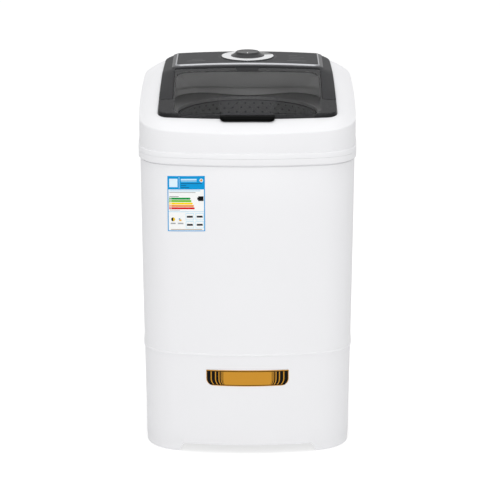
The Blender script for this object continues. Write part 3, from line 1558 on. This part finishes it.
def make_pulsator():
    """The pulsator: a shallow cone with a cap and tapered vanes."""
    foot = BASKET_BOTTOM_Z + BASKET_WALL + PULSATOR_LIFT
    disc = turned(
        "pulsator",
        [
            (0.0, foot + PULSATOR_CONE + PULSATOR_CAP_HEIGHT),
            (PULSATOR_CAP_RADIUS / 2.0, foot + PULSATOR_CONE + PULSATOR_CAP_HEIGHT * 0.85),
            (PULSATOR_CAP_RADIUS, foot + PULSATOR_CONE),
            (PULSATOR_RADIUS - PULSATOR_EDGE, foot + PULSATOR_EDGE),
            (PULSATOR_RADIUS, foot + PULSATOR_EDGE / 2.0),
            (PULSATOR_RADIUS, foot),
            (SHAFT_RADIUS + SEAT_GAP, foot),
            (SHAFT_RADIUS + SEAT_GAP, foot + PULSATOR_CONE / 2.0),
            (0.0, foot + PULSATOR_CONE / 2.0),
        ],
        pulsator_blue,
        (0.0, 0.0),
        ROUND_STEPS,
        False,
    )
    bm = bmesh.new()
    for index in range(VANE_COUNT):
        before = set(bm.verts)
        bmesh.ops.create_cube(bm, size=1.0)
        fresh = [vert for vert in bm.verts if vert not in before]
        for vert in fresh:
            outward = vert.co.x > 0.0
            high = vert.co.z > 0.0
            x = VANE_OUTER if outward else VANE_INNER
            height = VANE_TIP_HEIGHT if outward else VANE_HEIGHT
            width = VANE_HALF if not high else VANE_HALF / 2.5
            y = width if vert.co.y > 0.0 else -width
            z = foot + height + PULSATOR_EDGE if high else foot + PULSATOR_EDGE / 3.0
            vert.co = Vector((x, y, z))
        turn = Matrix.Rotation(2.0 * math.pi * index / VANE_COUNT, 3, "Z")
        bmesh.ops.rotate(bm, matrix=turn, verts=fresh)
    boolean(disc, add_object("vanes", finish_mesh("vanes", bm)), "UNION")
    rod(
        "drive_shaft",
        SHAFT_RADIUS,
        PULLEY_MID_Z - PULLEY_HALF_WIDTH - SHAFT_RADIUS,
        foot + PULSATOR_CONE / 2.0 - SEAT_GAP,
        (0.0, 0.0),
        SMALL_STEPS,
        steel,
    )


def make_bearings():
    """The bearing housing stands through the chassis plate and carries the tube."""
    low = HOUSING_BOTTOM_Z
    high = HOUSING_TOP_Z
    seat = PLATE_BOTTOM_Z + PLATE_THICKNESS + SEAT_GAP
    shoulder = BEARING_BORE + (BEARING_RADIUS - BEARING_BORE) * 0.7
    lower_top = low + BEARING_WIDTH + SEAT_GAP
    upper_foot = high - SEAL_WIDTH - BEARING_WIDTH - 2.0 * SEAT_GAP
    turned(
        "bearing_housing",
        [
            (HOUSING_NECK_RADIUS, high),
            (HOUSING_NECK_RADIUS, seat + HOUSING_FLANGE),
            (HOUSING_FLANGE_RADIUS, seat + HOUSING_FLANGE),
            (HOUSING_FLANGE_RADIUS, seat),
            (HOUSING_RADIUS, seat),
            (HOUSING_RADIUS, low),
            (HOUSING_BORE, low),
            (HOUSING_BORE, lower_top),
            (shoulder, lower_top),
            (shoulder, upper_foot),
            (HOUSING_BORE, upper_foot),
            (HOUSING_BORE, high),
        ],
        cast_metal,
        (0.0, 0.0),
        MEDIUM_STEPS,
    )
    race = tube_profile(BEARING_RADIUS, BEARING_BORE, low, low + BEARING_WIDTH)
    turned("bearing_lower", race, steel, (0.0, 0.0), MEDIUM_STEPS)
    bearing_foot = upper_foot + SEAT_GAP
    bearing_top = bearing_foot + BEARING_WIDTH
    race = tube_profile(BEARING_RADIUS, BEARING_BORE, bearing_foot, bearing_top)
    turned("bearing_upper", race, steel, (0.0, 0.0), MEDIUM_STEPS)
    collar = tube_profile(BEARING_RADIUS, BEARING_BORE, bearing_top + SEAT_GAP, high)
    turned("shaft_seal", collar, rubber, (0.0, 0.0), MEDIUM_STEPS)


def make_chassis():
    """The steel plate on the skirt's ledge, with the rubber mounts of the tub."""
    plan = skin_outline(BASE_TOP_HALF, BASE_TOP_FRONT, BODY_REAR, SKIRT_WALL + PLATE_CLEARANCE)
    low = PLATE_BOTTOM_Z
    high = low + PLATE_THICKNESS
    plate = add_object("chassis_plate", prism_mesh("chassis_plate", plan, low, high), steel)
    cut_low = low - CUT_OVERRUN
    cut_high = high + CUT_OVERRUN
    hole = rod("housing_hole", HOUSING_RADIUS + SEAT_GAP, cut_low, cut_high, (0.0, 0.0), ROUND_STEPS)
    boolean(plate, hole)
    boolean(plate, rod("hose_hole", DRAIN_HOLE, cut_low, cut_high, (DRAIN_X, DRAIN_Y)))
    names = ("front_right", "rear_right", "rear_left", "front_left")
    for index, name in enumerate(names):
        angle = math.radians(-45.0 + 90.0 * index)
        at = (MOUNT_CIRCLE * math.cos(angle), MOUNT_CIRCLE * math.sin(angle))
        foot = high + SEAT_GAP
        top = TUB_BOTTOM_Z - SEAT_GAP
        middle = (foot + top) / 2.0
        turned(
            "tub_mount_" + name,
            [
                (0.0, top),
                (MOUNT_RADIUS, top),
                (MOUNT_WAIST, middle),
                (MOUNT_RADIUS, foot),
                (0.0, foot),
            ],
            rubber,
            at,
            SMALL_STEPS,
            False,
        )


def groove_profile(outer, bore):
    """A pulley's rim section, with its belt groove, down to a bore."""
    middle = PULLEY_MID_Z
    top = middle + PULLEY_HALF_WIDTH
    foot = middle - PULLEY_HALF_WIDTH
    return [
        (outer, top),
        (outer, middle + GROOVE_HALF),
        (outer - GROOVE_DEPTH, middle + GROOVE_FOOT_HALF),
        (outer - GROOVE_DEPTH, middle - GROOVE_FOOT_HALF),
        (outer, middle - GROOVE_HALF),
        (outer, foot),
        (bore, foot),
        (bore, top),
    ]


def belt_loop(offset):
    """The belt's path round both pulleys, offset from the grooves' feet."""
    large = DRIVEN_RADIUS - GROOVE_DEPTH + offset
    small = MOTOR_PULLEY_RADIUS - GROOVE_DEPTH + offset
    span = math.hypot(MOTOR_X, MOTOR_Y)
    heading = math.atan2(MOTOR_Y, MOTOR_X)
    lean = math.acos((DRIVEN_RADIUS - MOTOR_PULLEY_RADIUS) / span)
    points = []
    for step in range(25):
        angle = heading + lean + (2.0 * math.pi - 2.0 * lean) * step / 24
        points.append(Vector((large * math.cos(angle), large * math.sin(angle))))
    for step in range(13):
        angle = heading - lean + 2.0 * lean * step / 12
        x = MOTOR_X + small * math.cos(angle)
        y = MOTOR_Y + small * math.sin(angle)
        points.append(Vector((x, y)))
    return points


def make_drive():
    """Driven pulley, motor pulley, belt, motor, bracket and capacitor."""
    middle = PULLEY_MID_Z
    top = middle + PULLEY_HALF_WIDTH
    foot = middle - PULLEY_HALF_WIDTH
    rim_inner = DRIVEN_RADIUS - DRIVEN_RIM
    web_top = middle + DRIVEN_WEB / 2.0
    web_foot = middle - DRIVEN_WEB / 2.0
    bore = SHAFT_RADIUS + SEAT_GAP
    driven = turned(
        "driven_pulley",
        groove_profile(DRIVEN_RADIUS, rim_inner)[:-1]
        + [
            (rim_inner, web_foot),
            (DRIVEN_HUB_RADIUS, web_foot),
            (DRIVEN_HUB_RADIUS, foot),
            (bore, foot),
            (bore, top),
            (DRIVEN_HUB_RADIUS, top),
            (DRIVEN_HUB_RADIUS, web_top),
            (rim_inner, web_top),
            (rim_inner, top),
        ],
        cast_metal,
    )
    for index in range(LIGHTENING_COUNT):
        angle = 2.0 * math.pi * index / LIGHTENING_COUNT
        at = (LIGHTENING_CIRCLE * math.cos(angle), LIGHTENING_CIRCLE * math.sin(angle))
        boolean(driven, rod("lightening_%d" % index, LIGHTENING_RADIUS, foot, top, at, 12))
    motor_at = (MOTOR_X, MOTOR_Y)
    motor_bore = MOTOR_SHAFT_RADIUS + SEAT_GAP
    turned("motor_pulley", groove_profile(MOTOR_PULLEY_RADIUS, motor_bore), steel, motor_at, MEDIUM_STEPS)

    inner = belt_loop(BELT_SLACK)
    outer = belt_loop(BELT_SLACK + BELT_THICKNESS)
    section = [
        ring(inner, middle - BELT_FOOT_HALF),
        ring(outer, middle - BELT_HALF),
        ring(outer, middle + BELT_HALF),
        ring(inner, middle + BELT_FOOT_HALF),
    ]
    add_object("drive_belt", rings_mesh("drive_belt", section, True), rubber)

    shaft_top = MOTOR_BOTTOM_Z + MOTOR_SHAFT_GRIP
    turned(
        "motor_housing",
        [
            (0.0, MOTOR_TOP_Z),
            (MOTOR_BELL_RADIUS, MOTOR_TOP_Z),
            (MOTOR_RADIUS, MOTOR_TOP_Z - MOTOR_BELL),
            (MOTOR_RADIUS, MOTOR_BOTTOM_Z + MOTOR_BELL),
            (MOTOR_BELL_RADIUS, MOTOR_BOTTOM_Z),
            (motor_bore, MOTOR_BOTTOM_Z),
            (motor_bore, shaft_top),
            (0.0, shaft_top),
        ],
        motor_grey,
        motor_at,
        MEDIUM_STEPS,
        False,
    )
    shaft = rod(
        "motor_shaft",
        MOTOR_SHAFT_RADIUS,
        foot - SHAFT_RADIUS,
        shaft_top - SEAT_GAP,
        motor_at,
        16,
        steel,
    )
    set_origin(shaft, (*motor_at, 0.0))
    bracket_top = PLATE_BOTTOM_Z - SEAT_GAP
    bracket_foot = MOTOR_TOP_Z + SEAT_GAP
    plan = outline(BRACKET_HALF, -BRACKET_HALF, BRACKET_HALF, BRACKET_CORNER, counts=PLAIN_COUNTS)
    shifted = [point + Vector(motor_at) for point in plan]
    add_object("motor_bracket", prism_mesh("motor_bracket", shifted, bracket_foot, bracket_top), steel)
    turned(
        "capacitor",
        [
            (0.0, PLATE_BOTTOM_Z - SEAT_GAP),
            (CAPACITOR_RADIUS, PLATE_BOTTOM_Z - SEAT_GAP),
            (CAPACITOR_RADIUS, PLATE_BOTTOM_Z - CAPACITOR_HEIGHT + CAPACITOR_RIM),
            (CAPACITOR_RADIUS - CAPACITOR_RIM, PLATE_BOTTOM_Z - CAPACITOR_HEIGHT),
            (0.0, PLATE_BOTTOM_Z - CAPACITOR_HEIGHT),
        ],
        white_trim,
        (CAPACITOR_X, CAPACITOR_Y),
        MEDIUM_STEPS,
        False,
    )


def make_drain():
    """The drain hose drops from the tub and runs back to the outlet in the rear wall."""
    top = TUB_BOTTOM_Z - SEAT_GAP
    end_y = BODY_REAR - SKIRT_WALL - OUTLET_INSIDE - SEAT_GAP
    route = [
        Vector((DRAIN_X, DRAIN_Y, top)),
        Vector((DRAIN_X, DRAIN_Y, top - DRAIN_RADIUS)),
        Vector((DRAIN_X, DRAIN_Y, top - 2.0 * DRAIN_RADIUS)),
        Vector((DRAIN_X, DRAIN_Y, (top + DRAIN_DROP_Z) / 2.0)),
        Vector((DRAIN_X - DRAIN_RADIUS, DRAIN_Y + DRAIN_RADIUS, DRAIN_DROP_Z)),
        Vector((OUTLET_X + DRAIN_RADIUS, (DRAIN_Y + end_y) / 2.0, (DRAIN_DROP_Z + OUTLET_Z) / 2.0)),
        Vector((OUTLET_X, end_y - 4.0 * DRAIN_RADIUS, OUTLET_Z)),
        Vector((OUTLET_X, end_y - 2.0 * DRAIN_RADIUS, OUTLET_Z)),
        Vector((OUTLET_X, end_y - DRAIN_RADIUS, OUTLET_Z)),
        Vector((OUTLET_X, end_y, OUTLET_Z)),
    ]
    curve = bpy.data.curves.new("drain_hose", "CURVE")
    curve.dimensions = "3D"
    spline = curve.splines.new("POLY")
    places = smooth_route(route, 3)
    spline.points.add(len(places) - 1)
    for point, place in zip(spline.points, places):
        point.co = (*place, 1.0)
    curve.bevel_depth = DRAIN_RADIUS
    curve.bevel_resolution = 2
    curve.use_fill_caps = True
    hose = bpy.data.objects.new("drain_hose", curve)
    curve.materials.append(hose_grey)
    parts.objects.link(hose)

    reach = BODY_REAR + OUTLET_REACH
    inside = BODY_REAR - SKIRT_WALL - OUTLET_INSIDE
    lay = Matrix.Rotation(math.radians(-90.0), 4, "X")
    outlet = turned(
        "drain_outlet",
        [
            (OUTLET_RADIUS, reach),
            (OUTLET_RADIUS, BODY_REAR + SEAT_GAP + OUTLET_FLANGE_THICKNESS),
            (OUTLET_FLANGE, BODY_REAR + SEAT_GAP + OUTLET_FLANGE_THICKNESS),
            (OUTLET_FLANGE, BODY_REAR + SEAT_GAP),
            (OUTLET_RADIUS, BODY_REAR + SEAT_GAP),
            (OUTLET_RADIUS, inside),
            (OUTLET_BORE, inside),
            (OUTLET_BORE, reach),
        ],
        grey_plastic,
        (0.0, 0.0),
        SMALL_STEPS,
    )
    outlet.matrix_world = Matrix.Translation((OUTLET_X, 0.0, OUTLET_Z)) @ lay
    gland_reach = BODY_REAR + GLAND_REACH
    gland = turned(
        "cable_gland",
        [
            (0.0, gland_reach),
            (GLAND_RADIUS, gland_reach),
            (GLAND_FLANGE, BODY_REAR + SEAT_GAP + OUTLET_FLANGE_THICKNESS),
            (GLAND_FLANGE, BODY_REAR + SEAT_GAP),
            (GLAND_RADIUS, BODY_REAR + SEAT_GAP),
            (GLAND_RADIUS, BODY_REAR - SKIRT_WALL - GLAND_RADIUS),
            (0.0, BODY_REAR - SKIRT_WALL - GLAND_RADIUS),
        ],
        rubber,
        (0.0, 0.0),
        SMALL_STEPS,
        False,
    )
    gland.matrix_world = Matrix.Translation((GLAND_X, 0.0, GLAND_Z)) @ lay


def smooth_route(route, steps):
    """Points on a smooth curve through a route's own points."""
    places = []
    count = len(route)
    for index in range(count - 1):
        before = route[max(0, index - 1)]
        start = route[index]
        end = route[index + 1]
        after = route[min(count - 1, index + 2)]
        for step in range(steps):
            t = step / steps
            lead = (end - before) / 2.0
            trail = (after - start) / 2.0
            place = (
                start * (2.0 * t ** 3 - 3.0 * t ** 2 + 1.0)
                + lead * (t ** 3 - 2.0 * t ** 2 + t)
                + end * (3.0 * t ** 2 - 2.0 * t ** 3)
                + trail * (t ** 3 - t ** 2)
            )
            places.append(place)
    places.append(route[-1])
    return places


for old in list(bpy.data.objects):
    bpy.data.objects.remove(old)

parts = make_collection("washing_machine")
cutters = make_collection("cutters")

white = make_material("white_polypropylene", (0.84, 0.84, 0.85), 0.42)
white_trim = make_material("white_trim", (0.82, 0.82, 0.83), 0.38)
grey_plastic = make_material("grey_plastic", (0.45, 0.45, 0.46), 0.5)
liner_grey = make_material("liner_grey", (0.60, 0.60, 0.61), 0.5)
tub_plastic = make_material("tub_plastic", (0.70, 0.70, 0.71), 0.5)
basket_white = make_material("basket_white", (0.72, 0.72, 0.73), 0.45)
dark_plastic = make_material("dark_plastic", (0.075, 0.075, 0.078), 0.35)
panel_black = make_material("panel_black", (0.060, 0.060, 0.062), 0.18)
smoked = make_material("smoked_plastic", (0.10, 0.10, 0.105), 0.15)
handle_black = make_material("handle_black", (0.008, 0.008, 0.008), 0.12)
knob_plastic = make_material("knob_plastic", (0.075, 0.075, 0.078), 0.40)
silver = make_material("silver_trim", (0.60, 0.61, 0.62), 0.25, 0.9)
silver_bright = make_material("dial_silver", (0.72, 0.73, 0.74), 0.25, 0.8)
steel = make_material("steel", (0.52, 0.53, 0.54), 0.35, 1.0)
cast_metal = make_material("cast_aluminium", (0.46, 0.47, 0.48), 0.5, 1.0)
motor_grey = make_material("motor_paint", (0.16, 0.17, 0.18), 0.45, 0.4)
rubber = make_material("black_rubber", (0.022, 0.022, 0.023), 0.8)
hose_grey = make_material("hose_grey", (0.30, 0.30, 0.31), 0.6)
pulsator_blue = make_material("pulsator_plastic", (0.55, 0.57, 0.60), 0.4)

make_base()
make_cabinet()
make_top_frame()
make_console_frame()
make_console_top()
make_dial()
make_lid()
make_switch()
make_well()
make_tub()
make_basket()
make_pulsator()
make_bearings()
make_chassis()
make_drive()
make_drain()
